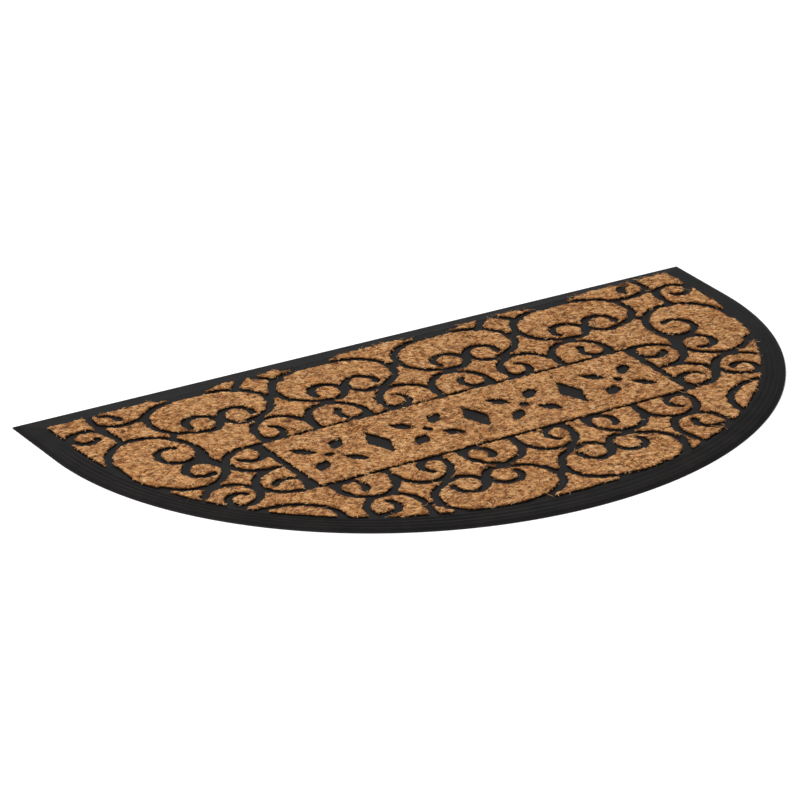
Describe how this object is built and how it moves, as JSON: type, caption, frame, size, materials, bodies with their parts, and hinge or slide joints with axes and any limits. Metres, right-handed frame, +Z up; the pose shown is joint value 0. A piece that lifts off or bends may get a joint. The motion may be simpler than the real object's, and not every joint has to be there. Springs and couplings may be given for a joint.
{
  "type": "half-round rubber and coir doormat",
  "caption": "Half-round doormat: black moulded rubber tray with a raised border, filled with golden-brown coir pile in a scroll ornament around a long panel.",
  "frame": {"origin": "on the floor, under the middle of the mat's width and depth", "axes": "+X along the straight back edge, +Y from the round front towards the straight back edge, +Z up through the pile"},
  "size_m": [0.7, 0.4, 0.0072],
  "materials": {
    "rubber": "black moulded rubber, satin, faintly dusty, with fine ribs along the outer edge",
    "coir": "needled coconut fibre pile, golden brown with paler and darker strands"
  },
  "bodies": {
    "root": {"rubber_tray": "rubber", "coir_left_01": "coir", "coir_left_02": "coir", "coir_left_03": "coir", "coir_left_04": "coir", "coir_left_05": "coir", "coir_left_06": "coir", "coir_left_07": "coir", "coir_left_08": "coir", "coir_left_09": "coir", "coir_left_10": "coir", "coir_left_11": "coir", "coir_left_12": "coir", "coir_left_13": "coir", "coir_left_14": "coir", "coir_left_15": "coir", "coir_left_16": "coir", "coir_left_17": "coir", "coir_left_18": "coir", "coir_left_19": "coir", "coir_left_20": "coir", "coir_left_21": "coir", "coir_left_22": "coir", "coir_left_23": "coir", "coir_left_24": "coir", "coir_left_25": "coir", "coir_left_26": "coir", "coir_left_27": "coir", "coir_middle_01": "coir", "coir_middle_02": "coir", "coir_middle_03": "coir", "coir_middle_04": "coir", "coir_middle_05": "coir", "coir_right_01": "coir", "coir_right_02": "coir", "coir_right_03": "coir", "coir_right_04": "coir", "coir_right_05": "coir", "coir_right_06": "coir", "coir_right_07": "coir", "coir_right_08": "coir", "coir_right_09": "coir", "coir_right_10": "coir", "coir_right_11": "coir", "coir_right_12": "coir", "coir_right_13": "coir", "coir_right_14": "coir", "coir_right_15": "coir", "coir_right_16": "coir", "coir_right_17": "coir", "coir_right_18": "coir", "coir_right_19": "coir", "coir_right_20": "coir", "coir_right_21": "coir", "coir_right_22": "coir", "coir_right_23": "coir", "coir_right_24": "coir", "coir_right_25": "coir", "coir_right_26": "coir", "coir_right_27": "coir"}
  },
  "joints": []
}
